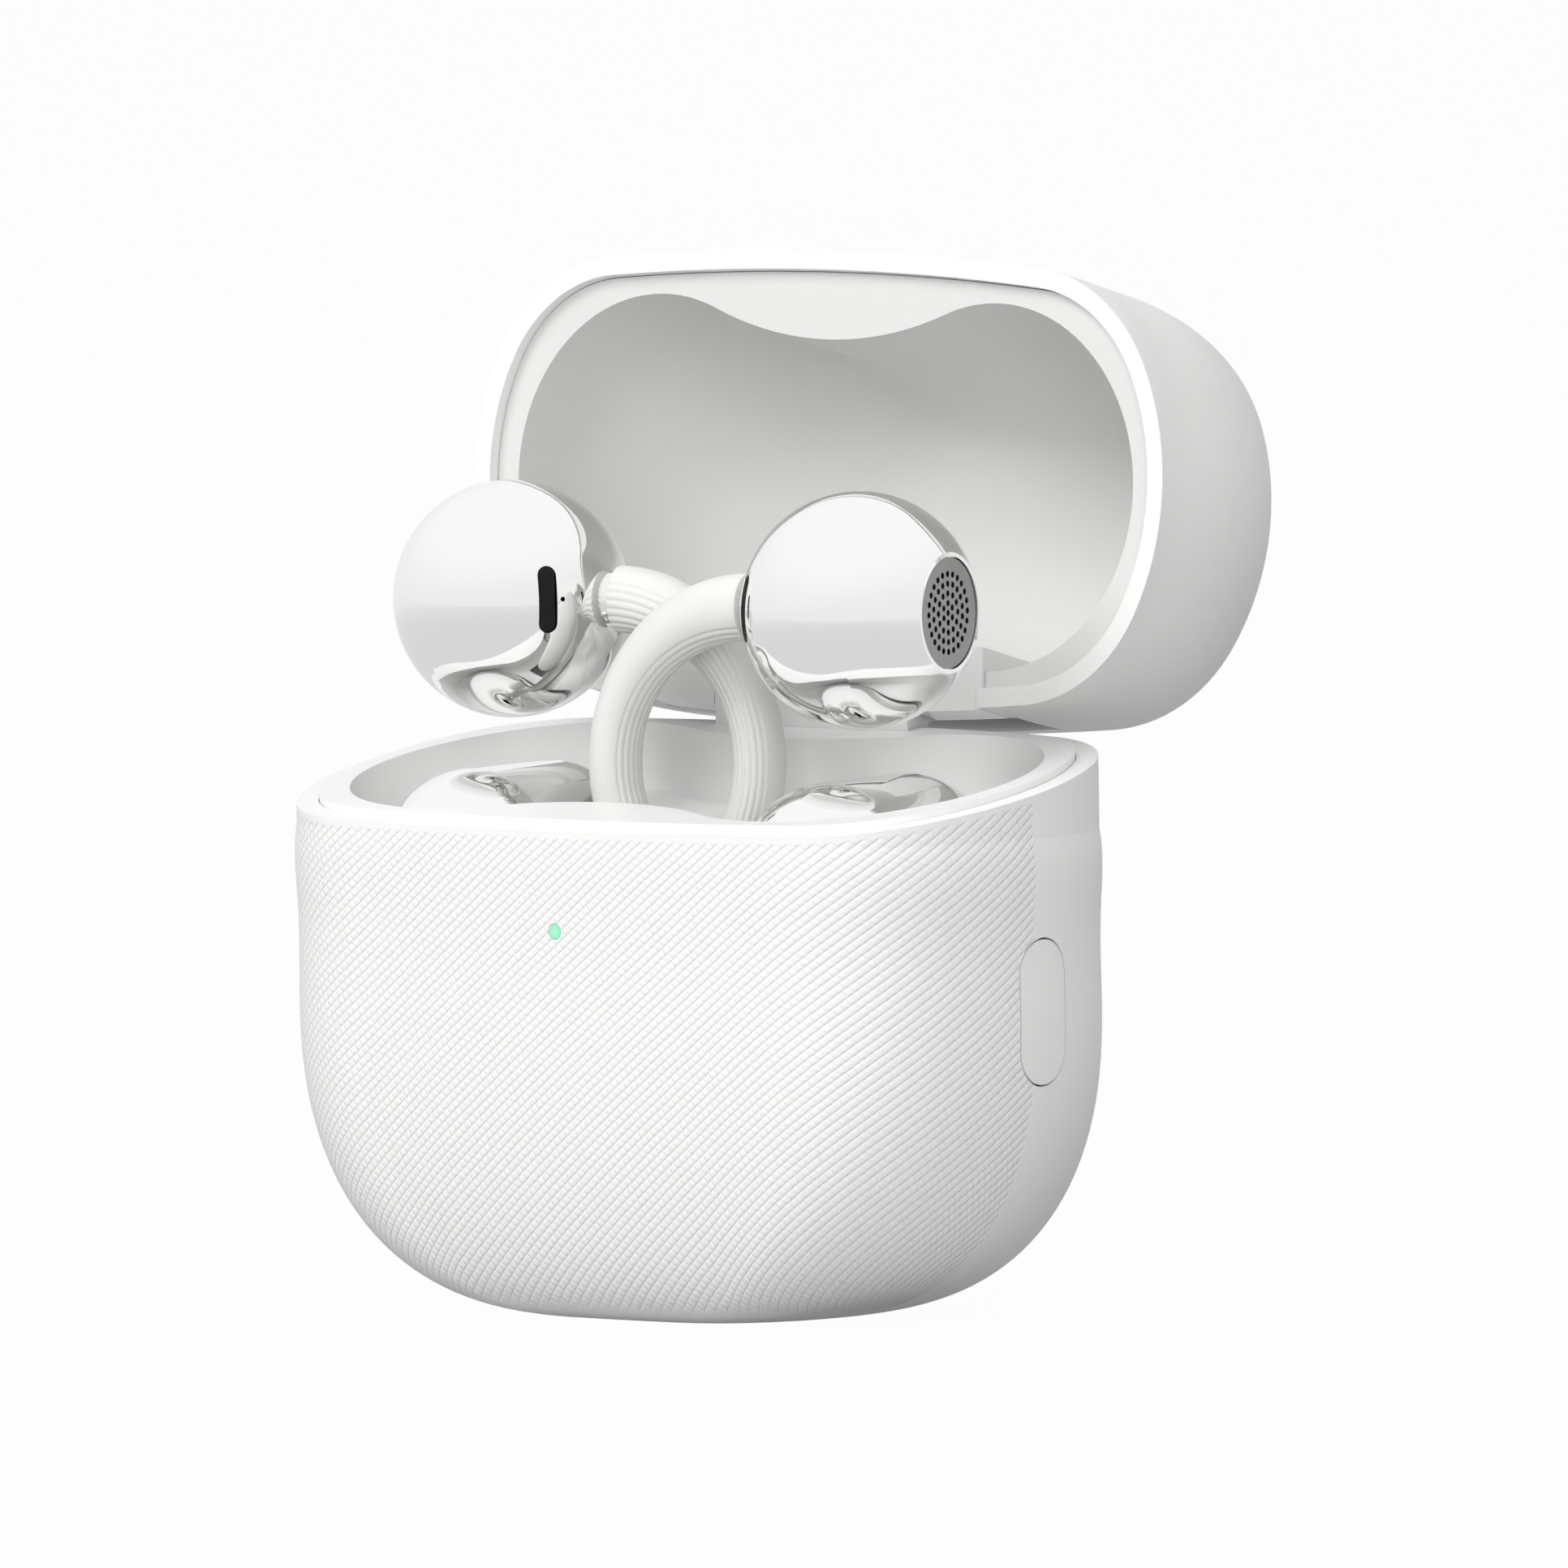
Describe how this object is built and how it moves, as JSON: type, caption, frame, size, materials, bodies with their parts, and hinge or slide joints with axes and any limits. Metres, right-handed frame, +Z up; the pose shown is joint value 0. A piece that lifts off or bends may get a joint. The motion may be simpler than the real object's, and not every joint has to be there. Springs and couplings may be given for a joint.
{
  "type": "wireless earbuds case",
  "caption": "Pebble-shaped charging case with a hinged lid, a side button and two clip-on earbuds that lift out of wells in its tray.",
  "frame": {"origin": "middle of the flat bottom face of the base", "axes": "+Z up, +X to the right of someone facing the front, +Y towards the hinge at the back"},
  "size_m": [0.0504, 0.0445, 0.0597],
  "materials": {
    "case_shell": "warm white moulded plastic, fine diagonal twill relief on the front",
    "case_trim": "satin white moulded plastic",
    "lid_grain": "warm white moulded plastic with a fine leather-like grain",
    "lid_lining": "pale warm grey satin plastic",
    "polished_hinge": "polished dark hinge metal",
    "polished_shell": "mirror-plated plastic shell",
    "soft_sleeve": "soft white silicone with fine lengthwise ribs",
    "grille_metal": "perforated light grey metal",
    "black_mesh": "fine black acoustic mesh",
    "lamp_lens": "lit mint green light guide",
    "circuit_board": "green solder mask",
    "socket_steel": "drawn steel",
    "spring_steel": "spring steel",
    "battery_wrap": "dull grey cell wrap",
    "black_foam": "black foam pad",
    "copper_winding": "enamelled copper winding",
    "ferrite": "dark ferrite sheet",
    "magnet_nickel": "nickel-plated magnet",
    "black_plastic": "black moulded plastic",
    "gold_contact": "gold-plated contact"
  },
  "bodies": {
    "base": {"base_shell": "case_shell", "charging_tray": "case_trim", "hinge_block": "case_trim", "hinge_spring": "spring_steel", "status_lamp": "lamp_lens", "lamp_board": "circuit_board", "usb_c_socket": "socket_steel", "main_board": "circuit_board", "board_shield": "socket_steel", "case_battery": "battery_wrap", "battery_foam": "black_foam", "charging_coil": "copper_winding", "coil_ferrite": "ferrite", "base_magnet": "magnet_nickel", "bud_magnets": "magnet_nickel", "button_switch": "black_plastic", "button_board": "circuit_board", "probe_block_right": "black_plastic", "probe_block_left": "black_plastic"},
    "lid": {"lid_shell": "lid_grain", "lid_liner": "lid_lining", "hinge_frame": "case_trim", "hinge_plate": "polished_hinge", "hinge_pin": "spring_steel", "lid_magnet": "magnet_nickel"},
    "pair_button": {"button_cap": "case_shell"},
    "earbud_right": {"right_ball_front": "polished_shell", "right_ball_back": "polished_shell", "right_speaker_grille": "grille_metal", "right_speaker_driver": "black_plastic", "right_ball_board": "circuit_board", "right_slot_meshes": "black_mesh", "right_bridge_neck": "polished_shell", "right_bridge_sleeve": "soft_sleeve", "right_bridge_wire": "spring_steel", "right_bean_top": "polished_shell", "right_bean_bottom": "polished_shell", "right_bean_pads": "gold_contact", "right_bean_battery": "battery_wrap"},
    "earbud_left": {"left_ball_front": "polished_shell", "left_ball_back": "polished_shell", "left_speaker_grille": "grille_metal", "left_speaker_driver": "black_plastic", "left_ball_board": "circuit_board", "left_slot_meshes": "black_mesh", "left_bridge_neck": "polished_shell", "left_bridge_sleeve": "soft_sleeve", "left_bridge_wire": "spring_steel", "left_bean_top": "polished_shell", "left_bean_bottom": "polished_shell", "left_bean_pads": "gold_contact", "left_bean_battery": "battery_wrap"},
    "probes_right": {"probe_pins_right": "gold_contact"},
    "probes_left": {"probe_pins_left": "gold_contact"}
  },
  "joints": [
    {"name": "lid_hinge", "type": "hinge", "parent": "base", "child": "lid", "pos_m": [0, 0.01188, 0.0342], "axis": [-1, 0, 0], "range_deg": [-104.7, 0]},
    {"name": "pair_button_press", "type": "slide", "parent": "base", "child": "pair_button", "axis": [-1, 0, 0], "range_m": [0, 0.0003], "stiffness_N_per_m": 800},
    {"name": "earbud_right_lift", "type": "slide", "parent": "base", "child": "earbud_right", "axis": [0, 0, 1], "range_m": [0, 0.02]},
    {"name": "earbud_left_lift", "type": "slide", "parent": "base", "child": "earbud_left", "axis": [0, 0, 1], "range_m": [0, 0.02]},
    {"name": "probes_right_press", "type": "slide", "parent": "base", "child": "probes_right", "axis": [0, 0, -1], "range_m": [0, 0.0004], "stiffness_N_per_m": 300},
    {"name": "probes_left_press", "type": "slide", "parent": "base", "child": "probes_left", "axis": [0, 0, -1], "range_m": [0, 0.0004], "stiffness_N_per_m": 300}
  ]
}
